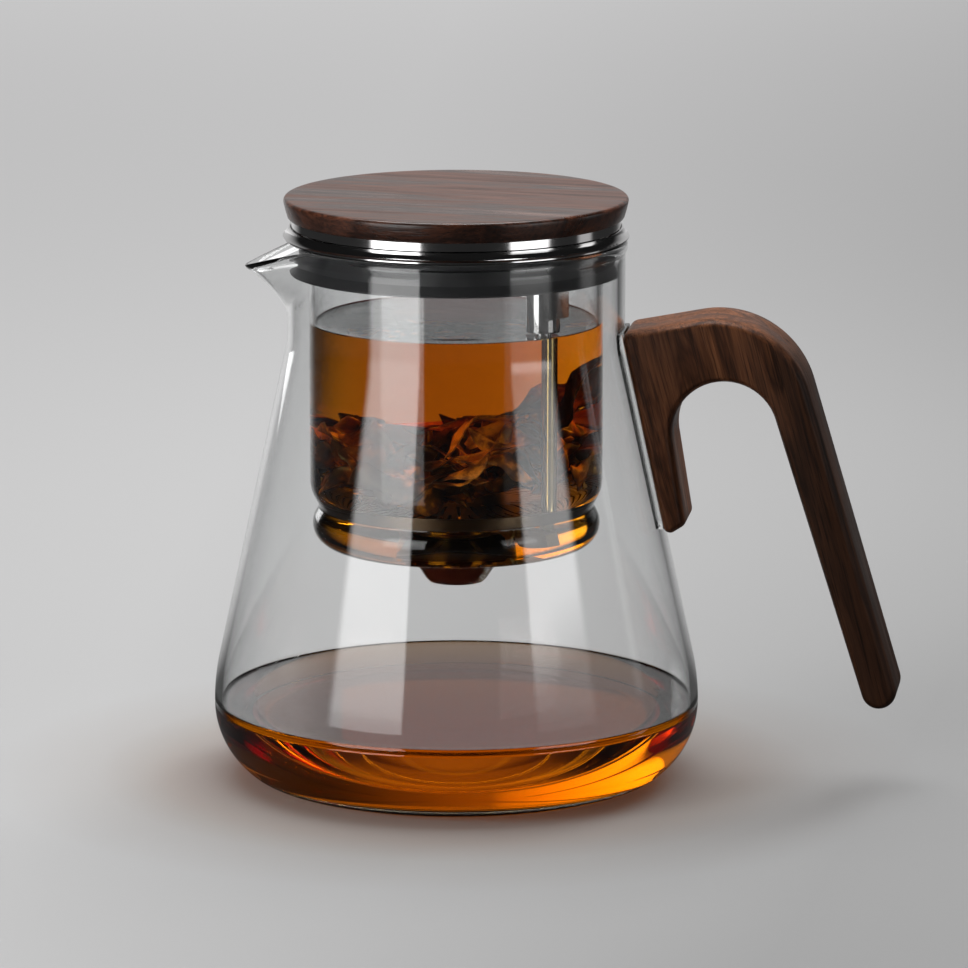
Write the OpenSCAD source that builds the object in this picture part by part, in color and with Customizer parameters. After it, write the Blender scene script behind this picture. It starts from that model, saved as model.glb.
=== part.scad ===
// Glass teapot with a lift-out infuser. Pressing the walnut lid opens a valve under the infuser.
// Millimetres. The origin is the centre of the jug's foot, +Z is up, the pouring lip points to -X
// and the handle to +X.

/* [Jug] */
// Greatest outer radius of the bowl
bowl_r = 67; // [62:0.5:72]
// Height of the greatest radius above the table
bowl_z = 20.5; // [18:0.5:23]
// Round of the bowl below its greatest radius
bowl_lower_round = 23.5; // [21:0.5:26]
// Round of the bowl above its greatest radius
bowl_upper_round = 60; // [40:1:80]
// Round between the bowl and its flat foot
foot_round = 10; // [8:0.5:12]
// Outer radius of the neck
neck_r = 46.4; // [45:0.1:48]
// Height where the cone turns into the straight neck
neck_start_z = 124; // [120:0.5:127]
// Round between the cone and the neck
shoulder_round = 22; // [10:1:30]
// Height of the rim
rim_z = 149.8; // [147:0.1:153]
// Thickness of the blown wall
jug_wall = 2; // [1.7:0.1:2.3]
// Thickness of the floor
jug_floor = 4; // [3:0.5:6]
// Height of the bead along the rim
bead_h = 3; // [2.4:0.1:3.4]
// How far the bead stands out of the neck
bead_proud = 0.6; // [0.2:0.1:1]

/* [Pouring lip] */
// How far the tip stands out of the neck
lip_reach = 12.6; // [9:0.2:16]
// Drop of the tip below the rim
lip_drop = 8.4; // [6:0.2:11]
// Length of neck that the lip takes up
lip_height = 21.3; // [18:0.1:25]
// Half of the angle of neck that the lip takes up
lip_half_angle = 38; // [30:1:44]
// Outer round of the keel under the lip
lip_keel_r = 2; // [1.8:0.1:2.4]
// Thickness of the pulled glass
lip_wall = 1.5; // [1.2:0.1:1.6]

/* [Handle] */
// Thickness of the wood across the handle
handle_t = 24; // [20:0.5:28]
// How far the rounded edge cuts into the faces' outline
handle_edge_in = 1.9; // [1:0.1:1.9]
// How deep the rounded edge runs across the thickness
handle_edge_depth = 4; // [2:0.5:6]
// Distance of the crown's centre from the neck
crown_out = 25.9; // [24:0.1:28]
// Height of the crown's centre
crown_z = 103.8; // [102:0.1:106]
// Outer round of the crown
crown_r = 26.8; // [25:0.1:28]
// Distance of the finger arch's centre from the neck
arch_out = 28.7; // [27:0.1:30]
// Height of the finger arch's centre
arch_z = 98.8; // [96:0.1:100]
// Radius of the finger arch
arch_r = 14.4; // [13:0.1:15]
// Distance of the tip's centre from the neck
tip_out = 71.5; // [66:0.1:76]
// Height of the tip's centre
tip_z = 28; // [24:0.5:34]
// Round of the tip
tip_r = 4.8; // [4.2:0.1:5.4]
// Height of the top corner's centre, beside the neck
root_z = 124.1; // [122:0.1:125]
// Round of the top corner
root_r = 2.6; // [2.1:0.1:3.2]
// Height of the heel's centre, at the foot of the glued leg
heel_z = 72.8; // [68:0.1:76]
// Round of the heel
heel_r = 2; // [2:0.1:2.4]
// Rise of the heel's outer corner
heel_rise = 1.4; // [0.8:0.1:2]
// Width of the glued leg's foot between its two rounds
heel_w = 2.2; // [1.8:0.1:2.8]
// Thickness of the clear adhesive between wood and glass
bond_t = 1.2; // [0.8:0.1:1.6]
// Width of the adhesive seam
bond_w = 19; // [14:0.5:22]

/* [Infuser glass] */
// Space between the infuser glass and the neck's wall
cup_gap = 4.1; // [3.8:0.1:4.5]
// Depth of the infuser glass from its top edge to its underside
cup_depth = 84.6; // [80:0.1:88]
// Thickness of the infuser glass
cup_wall = 1.5; // [1.3:0.1:1.7]
// Round of the bulge at the foot of the infuser glass
bulge_round = 6; // [5.6:0.1:6.2]
// How far the bulge stays inside the wall
bulge_inset = 0.7; // [0.6:0.1:1]
// Height of the waist above the underside
waist_h = 11; // [10.8:0.1:11.2]
// Depth of the waist
waist_depth = 2.45; // [2.2:0.05:2.55]
// Round in the waist
waist_round = 1.1; // [0.8:0.1:1.5]
// Height of the shoulder's centre above the underside
shoulder_h = 18.4; // [18:0.1:20]
// Round of the shoulder above the waist
cup_shoulder_round = 10; // [9.5:0.1:10.3]

/* [Collar and seal] */
// Height of the polished collar ring above the rim
collar_h = 3.3; // [3:0.1:3.8]
// How far the collar's edge stands out of the neck
collar_proud = 1; // [0.7:0.1:1.4]
// How far the collar's top lies inside the neck's radius
collar_top_inset = 0.5; // [0.2:0.1:0.6]
// Height of the ledge inside the collar above the rim
ledge_h = 1.1; // [0.9:0.1:1.2]
// Depth of the collar's skirt below the rim
skirt_depth = 8.2; // [7:0.1:9]
// Thickness of the collar's skirt
skirt_t = 1.5; // [1.2:0.1:1.6]
// Thickness of the seal's sleeve
seal_t = 1.1; // [0.9:0.1:1.2]
// Depth of the seal below the rim
seal_depth = 9.1; // [8:0.1:11]
// Height of the flared lip
seal_lip_h = 2.9; // [2:0.1:3.4]

/* [Strainer] */
// Height of the strainer's underside above the underside of the glass
screen_h = 13.4; // [13.2:0.1:13.9]
// Thickness of the strainer
screen_t = 0.8; // [0.6:0.1:1]
// Number of radial slots
slot_count = 60; // [36:4:72]
// Width of a slot
slot_w = 0.8; // [0.5:0.1:1]
// Inner end of the slots
slot_inner_r = 13; // [13:0.5:18]
// Plain border between the slots and the strainer's edge
slot_border = 2.2; // [2:0.1:5]
// Depth of the strainer's rim ring below the strainer
rim_ring_depth = 2.9; // [2.4:0.1:3.2]
// Width of the step that the strainer lies on
rim_step = 1.2; // [1:0.1:1.4]

/* [Push rod and lever] */
// Distance of the push rod's axis from the infuser glass
rod_inset = 7.3; // [7.2:0.1:8]
// Direction of the push rod round the axis
rod_angle = -35; // [-60:1:-20]
// Radius of the push rod
rod_r = 2.2; // [2:0.1:2.3]
// Radius of the guide sleeve
sleeve_r = 4.5; // [4.1:0.1:4.6]
// Length of the guide sleeve
sleeve_len = 11.4; // [9:0.1:16]
// Radius of the push rod's head
button_r = 3.4; // [3:0.1:3.6]
// Height of the push rod's head
button_h = 2.3; // [2:0.1:2.6]
// Stroke of the lid, the rod and the valve
stroke = 2; // [1.5:0.1:2]
// Width of the lever
lever_w = 4.4; // [4:0.1:5]
// Height of the lever's body
lever_h = 3.4; // [3:0.1:3.6]
// Radius of the lever's pin
pin_r = 1; // [0.8:0.1:1.1]
// Thickness of each bracket cheek
cheek_t = 1; // [0.8:0.1:1.3]

/* [Valve] */
// Outer radius of the valve housing
housing_r = 10.4; // [10:0.1:10.8]
// Thickness of the housing's wall
housing_wall = 2; // [1.6:0.1:2.1]
// Number of windows in the housing
window_count = 6; // [5:1:6]
// Width of a window
window_w = 6; // [5.6:0.1:6.4]
// Radius of the threaded neck through the glass
thread_r = 8.8; // [8.4:0.1:9]
// Radius of the outlet bore
outlet_r = 4.6; // [4:0.1:4.8]
// Thickness of each washer
washer_t = 0.8; // [0.6:0.1:0.9]
// Length of the nozzle
nozzle_len = 9.6; // [8.5:0.1:11]
// Outer radius of the nozzle at its top
nozzle_top_r = 13.4; // [12.6:0.1:13.8]
// Outer radius of the nozzle where its taper starts
nozzle_mid_r = 11.6; // [11:0.1:11.7]
// Outer radius of the nozzle at its mouth
nozzle_tip_r = 8.6; // [8:0.1:9.5]
// Length of the nozzle's taper
nozzle_taper = 5.1; // [4.5:0.1:5.5]

/* [Lid] */
// How far the walnut disc stands out of the neck
lid_proud = 0.8; // [0.4:0.1:1.4]
// Thickness of the walnut disc
lid_t = 5.7; // [5:0.1:7]
// How far the disc's side leans in towards its underside
lid_lean = 1.3; // [0.6:0.1:1.4]
// Bevel along the top edge of the disc
lid_bevel = 0.6; // [0.3:0.1:1]
// Height of the polished band under the disc
band_h = 2.25; // [2.2:0.05:2.6]
// How far the band lies inside the neck's radius
band_inset = 1.3; // [1.3:0.05:1.5]
// Thickness of the band's sheet steel
band_t = 0.6; // [0.5:0.1:0.8]
// Thickness of the lid's inner plug
base_t = 0.7; // [0.6:0.1:0.8]
// Radius of the spring well
well_r = 10.5; // [9.5:0.1:12]
// Depth of the spring well
well_depth = 6.9; // [6.5:0.1:7.2]
// Radius of the press stem
stem_r = 3; // [2.6:0.1:3.2]
// Space between the press plate and the infuser glass
plate_gap = 4.8; // [4.4:0.1:5.6]
// Thickness of the press plate
plate_t = 1.2; // [1:0.1:1.4]
// Distance of the disc screws from the axis
screw_offset = 25; // [20:0.5:32]

/* [Fits] */
// Gap between parts that rest on each other or pass each other
rest_gap = 0.15; // [0.1:0.05:0.2]
// Gap round parts that slide or turn in a bore
running_gap = 0.06; // [0.04:0.01:0.08]
// Gap between parts that are fixed in one another
fixed_gap = 0.02; // [0.01:0.01:0.03]
// Gap between moving parts at rest, in line with the push
push_gap = 0.3; // [0.2:0.05:0.3]

/* [Hidden] */

$fn = 96;
arc_step = 5;
eps = 0.01;

// Places in the jug
neck_inner_r = neck_r - jug_wall;
foot_circle = corner_circle(bowl_r - bowl_lower_round, bowl_z, bowl_lower_round, foot_round, 0);
bowl_low_circle = [bowl_r - bowl_lower_round, bowl_z, bowl_lower_round];
bowl_high_circle = [bowl_r - bowl_upper_round, bowl_z, bowl_upper_round];
neck_circle = [neck_r + shoulder_round, neck_start_z, -shoulder_round];
inner_foot_round = foot_round - jug_wall;
inner_foot_circle = corner_circle(bowl_r - bowl_lower_round, bowl_z, bowl_lower_round - jug_wall,
    inner_foot_round, jug_floor);
cone_angle = link_angle(bowl_high_circle, neck_circle);
cone_start = on_circle(bowl_high_circle, cone_angle);

// Places in the infuser, from the rim down
cup_r = neck_inner_r - cup_gap;
cup_top_z = rim_z - 0.6;
cup_floor_z = cup_top_z - cup_depth;
cup_inside_z = cup_floor_z + cup_wall;
cup_inner_r = cup_r - cup_wall;
rod_offset = cup_inner_r - rod_inset;
cup_circles = [
    [cup_r - bulge_inset - bulge_round, cup_floor_z + bulge_round, bulge_round],
    [cup_r - waist_depth + waist_round, cup_floor_z + waist_h, -waist_round],
    [cup_r - cup_shoulder_round, cup_floor_z + shoulder_h, cup_shoulder_round]];
waist_inner_r = cup_r - waist_depth - cup_wall;
screen_z = cup_floor_z + screen_h;
screen_top_z = screen_z + screen_t;

// Places in the collar
band_r = neck_r - band_inset;
collar_r = neck_r + collar_proud;
collar_top_r = neck_r - collar_top_inset;
collar_z = rim_z + rest_gap;
collar_top_z = rim_z + collar_h;
ledge_z = rim_z + ledge_h;
skirt_inner_r = cup_r + rest_gap;
skirt_r = skirt_inner_r + skirt_t;
mouth_r = band_r + 0.25;

// Places in the rim ring of the strainer
ring_lip_t = 1;
ring_lip_z = screen_top_z - 0.6;
ring_top_z = ring_lip_z + ring_lip_t;
ring_z = screen_z - rim_ring_depth;
ring_r = waist_inner_r - rest_gap;
ring_lip_r = inner_shoulder_r(ring_lip_z) - rest_gap;
screen_r = ring_r - 1;
slot_outer_r = screen_r - slot_border;
ring_inner_r = screen_r + rest_gap - rim_step;

// Places in the valve, from the floor of the infuser up
washer_z = cup_inside_z + rest_gap / 3;
flange_z = washer_z + washer_t + rest_gap / 3;
flange_t = 0.95;
seat_z = flange_z + flange_t;
plug_seal_t = 0.95;
plug_seal_w = 2.6;
plug_z = seat_z + rest_gap / 3 + plug_seal_t;
plug_flange_z = plug_z + 1.2;
plug_flange_t = 0.9;
plug_top_z = plug_flange_z + plug_flange_t;
plug_flange_r = housing_r - housing_wall - 0.8;
plug_r = outlet_r + 1.8;
plug_stem_r = 1.5;
housing_top_t = 1;
housing_top_z = screen_z - 2;
flange_r = housing_r + 1.8;
hole_r = thread_r + 0.2;
nozzle_top_z = cup_floor_z - washer_t - rest_gap;
nozzle_tip_z = nozzle_top_z - nozzle_len;
thread_end_z = nozzle_top_z - 3.6;

// Places along the lever
push_s = plug_flange_r - 0.35;
pivot_s = (rod_offset + push_s) / 2;
lever_top_z = plug_flange_z + 0.8;
tongue_top_z = plug_flange_z - push_gap;
tongue_t = 1.45;
pivot_z = lever_top_z - 1.4;
lever_end_s = rod_offset + rod_r + 0.4;
lever_body_s = flange_r + 0.7;
cheek_gap = 0.25;
cheek_r = 2.4;

// Places in the lid
lid_r = neck_r + lid_proud;
plate_r = cup_inner_r - plate_gap;
band_top_z = collar_top_z + 0.25 + band_h;
lid_top_z = band_top_z + lid_t;
band_plate_t = 0.8;
band_plate_z = band_top_z - band_plate_t;
gasket_z = ledge_z + rest_gap;
gasket_t = 0.75;
base_z = gasket_z + gasket_t;
base_top_z = base_z + base_t;
base_r = band_r - band_t - 0.5;
gasket_r = base_r - 0.4;
gasket_w = 2.6;
well_z = base_top_z - well_depth;
well_floor_t = 1.5;
well_wall = 1.5;
plate_top_z = well_z - push_gap;
plate_z = plate_top_z - plate_t;
screw_r = 1.2;
screw_head_r = 2.4;
screw_top_z = lid_top_z - 1.9;
plate_screw_r = 1.5;
plate_screw_head_r = 2.8;
plate_screw_head_t = 1.5;
plate_screw_top_z = plate_top_z + 5.8;
bore_end = 0.2;

// Places along the push rod
button_top_z = plate_z - push_gap;
button_z = button_top_z - button_h;
rod_end_z = lever_top_z + push_gap;
sleeve_top_z = button_z - stroke - push_gap;
sleeve_z = sleeve_top_z - sleeve_len;
tab_t = 0.9;

// Outline of the handle: circles joined by straight lines, with hollow rounds negative
handle_circles = [
    [neck_r + tip_out, tip_z, tip_r],
    [neck_r + crown_out, crown_z, crown_r],
    [beside_cone(root_z, root_r), root_z, root_r],
    [beside_cone(heel_z, heel_r), heel_z, heel_r],
    [beside_cone(heel_z, heel_r) + heel_w, heel_z + heel_rise, heel_r],
    [neck_r + arch_out, arch_z, -arch_r]];

// Point on a circle, given as centre and signed radius, where the outward normal has this angle
function on_circle(c, a) = [c[0] + c[2] * cos(a), c[1] + c[2] * sin(a)];

// Angle of the outward normal of the straight line from circle a to circle b, counterclockwise
function link_angle(a, b) =
    let (d = [a[0] - b[0], a[1] - b[1]])
    atan2(d[1], d[0]) + acos(max(-1, min(1, (b[2] - a[2]) / norm(d))));

// Angle brought into one turn, where a value just under zero stays there
function one_turn(a) = a - 360 * floor((a + 0.001) / 360);

// Points of a circle between two normals, counterclockwise, or clockwise on a hollow round
function arc_points(c, from, to) =
    let (turn = c[2] > 0 ? one_turn(to - from) : -one_turn(from - to),
        n = max(1, ceil(abs(turn) / arc_step)))
    [for (i = [0:n]) on_circle(c, from + turn * i / n)];

// Open path through circles, from the normal "from" to the normal "to"
function path_points(circles, from, to) =
    let (last = len(circles) - 1)
    [for (i = [0:last]) each arc_points(circles[i],
        i == 0 ? from : link_angle(circles[i - 1], circles[i]),
        i == last ? to : link_angle(circles[i], circles[i + 1]))];

// Closed outline through circles, as one list of points for each circle
function outline_arcs(circles) =
    let (n = len(circles))
    [for (i = [0:n - 1]) arc_points(circles[i],
        link_angle(circles[(i + n - 1) % n], circles[i]),
        link_angle(circles[i], circles[(i + 1) % n]))];

// Sum of the first n numbers of a list
function sum_of(list, n) = n == 0 ? 0 : list[n - 1] + sum_of(list, n - 1);

// The same circles with the outline moved in by d
function moved_in(circles, d) = [for (c = circles) [c[0], c[1], c[2] - d]];

// Circle of radius r that touches the floor at height z and a larger circle from inside
function corner_circle(x, y, big_r, r, z) =
    [x + sqrt(pow(big_r - r, 2) - pow(y - z - r, 2)), z + r, r];

// Outer radius of the jug's cone at a height
function cone_r(z) = cone_start[0] - (z - cone_start[1]) * tan(cone_angle);

// Distance from the axis of a circle beside the cone, with the adhesive between them
function beside_cone(z, r) = cone_r(z) + (bond_t + r) / cos(cone_angle);

// Inner radius of the infuser glass at a height on its shoulder
function inner_shoulder_r(z) =
    let (c = cup_circles[2])
    c[0] + sqrt(pow(c[2] - cup_wall, 2) - pow(z - c[1], 2));

// Faces of the wall over rings of n points each
function wall_faces(rings, n) =
    [for (k = [0:rings - 2]) for (i = [0:n - 1])
        [k * n + i, k * n + (i + 1) % n, (k + 1) * n + (i + 1) % n, (k + 1) * n + i]];

// A face turned over
function turned(face) = [for (i = [len(face) - 1:-1:0]) face[i]];

// Faces over the side of the handle: the tip, the crown, the corner at the root and the glued leg
function side_faces(counts) =
    let (crown = counts[0],
        root = sum_of(counts, 2),
        arch = sum_of(counts, 5),
        last = sum_of(counts, 6) - 1,
        steps = counts[1] - 1)
    concat(
        [concat([for (i = [0:crown]) i], [last])],
        [for (j = [0:steps - 1]) [crown + j, crown + j + 1, last - j - 1, last - j]],
        [[root - 1, root, last - steps]],
        [for (i = [arch:last - steps - 1]) [root, i, i + 1]],
        [[for (i = [root:arch]) i]]);

// Helical spring between two heights
module coil(mean_r, wire_r, z0, z1, turns) {
    sides = 8;
    steps = 20 * turns;
    rise = z1 - z0 - 2 * wire_r;
    points = [for (k = [0:steps]) for (i = [0:sides - 1])
        let (a = 360 * turns * k / steps,
            b = 360 * i / sides,
            r = mean_r + wire_r * cos(b))
        [r * cos(a), r * sin(a), z0 + wire_r + rise * k / steps + wire_r * sin(b)]];
    ends = [[for (i = [sides - 1:-1:0]) i], [for (i = [0:sides - 1]) steps * sides + i]];
    polyhedron(points, concat(wall_faces(steps + 1, sides), ends), convexity = 10);
}

// Ring between two radii and two heights
module ring(outer_r, inner_r, z0, z1) {
    translate([0, 0, z0]) {
        difference() {
            cylinder(r = outer_r, h = z1 - z0);
            translate([0, 0, -1]) cylinder(r = inner_r, h = z1 - z0 + 2);
        }
    }
}

// Upright cylinder between two heights
module rod(r, z0, z1) {
    translate([0, 0, z0]) cylinder(r = r, h = z1 - z0);
}

// Children moved to the push rod's axis, with +X pointing away from the teapot's axis
module at_rod() {
    rotate([0, 0, rod_angle]) translate([rod_offset, 0, 0]) children();
}

// Side outline of the lever's plane, extruded across its width
module across(width) {
    rotate([0, 0, rod_angle]) translate([0, width / 2, 0]) rotate([90, 0, 0])
        linear_extrude(height = width) children();
}

// Outer surface of the jug without its lip, as a solid
module jug_solid() {
    side = path_points([foot_circle, bowl_low_circle, bowl_high_circle, neck_circle], -90, 0);
    rotate_extrude() polygon(concat([[0, 0]], side, [
        [neck_r, rim_z - bead_h - bead_proud],
        [neck_r + bead_proud, rim_z - bead_h],
        [neck_r + bead_proud, rim_z - bead_proud],
        [neck_r, rim_z],
        [0, rim_z]]));
}

// Space inside the jug, open at the top
module jug_space() {
    circles = moved_in([bowl_low_circle, bowl_high_circle, neck_circle], jug_wall);
    side = path_points(concat([inner_foot_circle], circles), -90, 0);
    rotate_extrude() polygon(concat([[0, jug_floor]], side, [[neck_inner_r, rim_z + 5], [0, rim_z + 5]]));
}

// Wedge between the root, the tip and the two ends of the lip, grown by r and raised by lift
module lip_wedge(r, lift) {
    root_x = neck_r - lip_keel_r - 0.8;
    side_z = rim_z - lip_keel_r - 0.4;
    ends = [
        [-root_x, 0, rim_z - lip_height + lip_keel_r],
        [-(neck_r + lip_reach - lip_keel_r), 0, rim_z - lip_drop - lip_keel_r],
        [-root_x * cos(lip_half_angle), root_x * sin(lip_half_angle), side_z],
        [-root_x * cos(lip_half_angle), -root_x * sin(lip_half_angle), side_z]];
    hull() {
        for (p = ends) {
            translate(p) sphere(r = r, $fn = 24);
            if (lift > 0) translate(p + [0, 0, lift]) sphere(r = r, $fn = 24);
        }
    }
}

module jug_glass() {
    color("#dfe8ea", 0.35) difference() {
        union() {
            jug_solid();
            lip_wedge(lip_keel_r, 0);
        }
        lip_wedge(lip_keel_r - lip_wall, lip_height);
        jug_space();
    }
}

module handle() {
    counts = [for (arc = outline_arcs(handle_circles)) len(arc)];
    n = sum_of(counts, len(counts));
    edge = [for (a = [0:18:90]) [handle_edge_in * (1 - sin(a)), handle_edge_depth * (1 - cos(a))]];
    steps = len(edge);
    front = [for (e = edge) each handle_ring(e[0], e[1] - handle_t / 2)];
    back = [for (e = turned(edge)) each handle_ring(e[0], handle_t / 2 - e[1])];
    far = (2 * steps - 1) * n;
    side = side_faces(counts);
    faces = concat(
        [for (f = side) turned(f)],
        wall_faces(2 * steps, n),
        [for (f = side) [for (i = f) i + far]]);
    color("#4a2f20") polyhedron(concat(front, back), faces, convexity = 6);
}

// Outline of the handle moved in by d, in the upright plane at y
function handle_ring(d, y) =
    [for (arc = outline_arcs(moved_in(handle_circles, d))) for (p = arc) [p[0], y, p[1]]];

module handle_bond() {
    top = root_z + root_r / 2;
    foot = heel_z - heel_r / 2;
    wood = bond_t / cos(cone_angle);
    color("#e6eef0", 0.5) difference() {
        translate([0, bond_w / 2, 0]) rotate([90, 0, 0]) linear_extrude(height = bond_w) polygon([
            [cone_r(foot) - jug_wall, foot],
            [cone_r(foot) + wood - fixed_gap, foot],
            [cone_r(top) + wood - fixed_gap, top],
            [cone_r(top) - jug_wall, top]]);
        jug_solid($fn = 360);
    }
}

module infuser_glass() {
    outside = path_points(cup_circles, -90, 0);
    inside = path_points(moved_in(cup_circles, cup_wall), -90, 0);
    n = len(inside);
    color("#dfe8ea", 0.35) difference() {
        rotate_extrude() polygon(concat(
            [[0, cup_floor_z]], outside, [[cup_r, cup_top_z], [cup_inner_r, cup_top_z]],
            [for (i = [n - 1:-1:0]) inside[i]], [[0, cup_inside_z]]));
        rod(hole_r, cup_floor_z - 1, cup_inside_z + 1);
    }
}

module infuser_collar() {
    flare = 2.6;
    color("#c9ccce") rotate_extrude() difference() {
        polygon([
            [skirt_inner_r, rim_z - skirt_depth], [skirt_r, rim_z - skirt_depth], [skirt_r, collar_z],
            [collar_r - 0.4, collar_z], [collar_r, collar_z + 0.4], [collar_r, collar_z + 0.8],
            [collar_top_r, collar_top_z], [mouth_r, collar_top_z], [mouth_r, ledge_z],
            [cup_inner_r, ledge_z], [cup_inner_r, ledge_z - 0.6], [skirt_inner_r, ledge_z - 0.6]]);
        translate([collar_top_r + flare - 0.15, collar_top_z]) circle(r = flare, $fn = 48);
    }
}

module neck_seal() {
    inner_r = skirt_r + fixed_gap;
    outer_r = skirt_r + seal_t;
    lip_r = neck_inner_r - running_gap;
    foot = rim_z - seal_depth;
    color("#2b2b2d") rotate_extrude() polygon([
        [inner_r, foot], [lip_r, foot], [lip_r, foot + 0.5], [outer_r, foot + seal_lip_h],
        [outer_r, rim_z - 2.4], [outer_r + 0.5, rim_z - 2], [outer_r + 0.5, rim_z - 1.2],
        [outer_r, rim_z - 0.8], [outer_r, collar_z - fixed_gap], [inner_r, collar_z - fixed_gap]]);
}

module filter_screen() {
    collar_w = 0.9;
    stagger = 8;
    color("#b9bcbd") difference() {
        rod(screen_r, screen_z, screen_top_z);
        for (i = [0:slot_count - 1]) {
            start = i % 2 == 0 ? slot_inner_r : slot_inner_r + stagger;
            rotate([0, 0, rod_angle + 360 * (i + 0.5) / slot_count])
                translate([start, -slot_w / 2, screen_z - 1])
                cube([slot_outer_r - start, slot_w, screen_t + 2]);
        }
        at_rod() rod(rod_r + running_gap, screen_z - 1, screen_top_z + 1);
    }
    color("#b9bcbd") difference() {
        at_rod() rod(rod_r + collar_w, screen_z, screen_top_z);
        at_rod() rod(rod_r + running_gap, screen_z - 1, screen_top_z + 1);
    }
}

module filter_rim() {
    color("#8d8f90") difference() {
        union() {
            rod(ring_r, ring_z, ring_top_z);
            rod(ring_lip_r, ring_lip_z, ring_top_z);
        }
        rod(ring_inner_r, ring_z - 1, ring_top_z + 1);
        rod(screen_r + fixed_gap, screen_z - fixed_gap, ring_top_z + 1);
    }
}

module rod_sleeve() {
    tab_z = cup_top_z + rest_gap / 3;
    arm_inner_r = plate_r + 1.4;
    arm_r = cup_inner_r - 1.8;
    color("#b9bcbd") {
        difference() {
            union() {
                at_rod() rod(sleeve_r, sleeve_z, sleeve_top_z);
                intersection() {
                    ring(arm_r, arm_inner_r, sleeve_z + 4, tab_z + tab_t);
                    rotate([0, 0, rod_angle]) translate([0, -sleeve_r + 0.5, sleeve_z])
                        cube([cup_r, 2 * sleeve_r - 1, tab_z + tab_t - sleeve_z]);
                }
                intersection() {
                    ring(cup_r, arm_inner_r, tab_z, tab_z + tab_t);
                    rotate([0, 0, rod_angle]) translate([0, -sleeve_r - 1, tab_z - 1])
                        cube([cup_r + 1, 2 * sleeve_r + 2, 5]);
                }
            }
            at_rod() rod(rod_r + running_gap, sleeve_z - 1, sleeve_top_z + 1);
            at_rod() rod(button_r + 0.25, sleeve_top_z, tab_z + tab_t + 1);
        }
    }
}

module push_rod() {
    point_h = 1.3;
    point_r = 0.9;
    color("#c9ccce") at_rod() {
        translate([0, 0, rod_end_z]) cylinder(r1 = point_r, r2 = rod_r, h = point_h);
        rod(rod_r, rod_end_z + point_h, button_z + button_h / 2);
    }
}

module rod_button() {
    bevel = 0.5;
    color("#c9ccce") at_rod() difference() {
        union() {
            rod(button_r, button_z, button_top_z - bevel);
            translate([0, 0, button_top_z - bevel])
                cylinder(r1 = button_r, r2 = button_r - bevel, h = bevel);
        }
        rod(rod_r + fixed_gap, button_z - 1, button_z + button_h / 2 + fixed_gap);
    }
}

module valve_housing() {
    color("#2a2a2b") difference() {
        union() {
            rod(thread_r, thread_end_z, flange_z + 0.1);
            rod(flange_r, flange_z, seat_z);
            rod(housing_r, seat_z - 0.1, housing_top_z);
        }
        rod(housing_r - housing_wall, seat_z, housing_top_z - housing_top_t);
        rod(outlet_r, thread_end_z - 1, seat_z + 1);
        rod(plug_stem_r + running_gap, seat_z, housing_top_z + 1);
        for (i = [0:window_count - 1]) {
            rotate([0, 0, rod_angle + 360 * i / window_count])
                translate([0, -window_w / 2, seat_z])
                cube([housing_r + 1, window_w, housing_top_z - housing_top_t - 0.6 - seat_z]);
        }
    }
}

module housing_washer() {
    color("#2b2b2d") ring(flange_r, hole_r + 0.1, washer_z, washer_z + washer_t);
}

module outlet_nozzle() {
    taper_z = nozzle_tip_z + nozzle_taper;
    bore_r = thread_r + fixed_gap;
    mouth = nozzle_tip_r - 2.4;
    color("#4a1c0c") rotate_extrude() polygon([
        [mouth, nozzle_tip_z], [nozzle_tip_r - 0.8, nozzle_tip_z], [nozzle_tip_r, nozzle_tip_z + 0.8],
        [nozzle_mid_r, taper_z], [nozzle_top_r, nozzle_top_z], [bore_r, nozzle_top_z],
        [bore_r, thread_end_z - 0.1], [bore_r - 1.2, thread_end_z - 0.1]]);
}

module nozzle_washer() {
    color("#2b2b2d") ring(flange_r, hole_r + 0.1, nozzle_top_z + rest_gap / 3,
        nozzle_top_z + rest_gap / 3 + washer_t);
}

module valve_plug() {
    color("#c9ccce") {
        rod(plug_r, plug_z, plug_flange_z + 0.1);
        rod(plug_flange_r, plug_flange_z, plug_top_z);
        rod(plug_stem_r, plug_top_z - 0.1, housing_top_z - 0.4);
    }
}

module plug_seal() {
    color("#b8492a") ring(plug_r, plug_r - plug_seal_w, plug_z - plug_seal_t, plug_z);
}

module valve_spring() {
    color("#c9ccce") coil(3.4, 0.2, plug_top_z + eps, housing_top_z - housing_top_t - eps, 3);
}

module lever() {
    tongue_z = tongue_top_z - tongue_t;
    color("#9a9c9e") difference() {
        across(lever_w) polygon([
            [push_s - 0.5, tongue_z], [lever_body_s, tongue_z], [lever_body_s, lever_top_z - lever_h],
            [pivot_s + 3, lever_top_z - lever_h], [lever_end_s, lever_top_z - 2],
            [lever_end_s - 1, lever_top_z], [lever_body_s + 1, lever_top_z],
            [lever_body_s, tongue_top_z], [push_s - 0.5, tongue_top_z]]);
        rotate([0, 0, rod_angle]) translate([pivot_s, lever_w, pivot_z]) rotate([90, 0, 0])
            cylinder(r = pin_r + running_gap, h = 2 * lever_w, $fn = 48);
    }
}

module lever_bracket() {
    inner_w = lever_w + 2 * cheek_gap;
    outer_w = inner_w + 2 * cheek_t;
    plate_t = 1;
    top = screen_z - fixed_gap;
    color("#b9bcbd") difference() {
        across(outer_w) union() {
            translate([pivot_s - cheek_r, pivot_z]) square([2 * cheek_r, top - pivot_z]);
            translate([pivot_s, pivot_z]) circle(r = cheek_r);
        }
        rotate([0, 0, rod_angle]) translate([pivot_s - 2 * cheek_r, -inner_w / 2, pivot_z - 2 * cheek_r])
            cube([4 * cheek_r, inner_w, top - plate_t - pivot_z + 2 * cheek_r]);
        rotate([0, 0, rod_angle]) translate([pivot_s, outer_w, pivot_z]) rotate([90, 0, 0])
            cylinder(r = pin_r + fixed_gap, h = 2 * outer_w, $fn = 48);
    }
}

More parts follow.
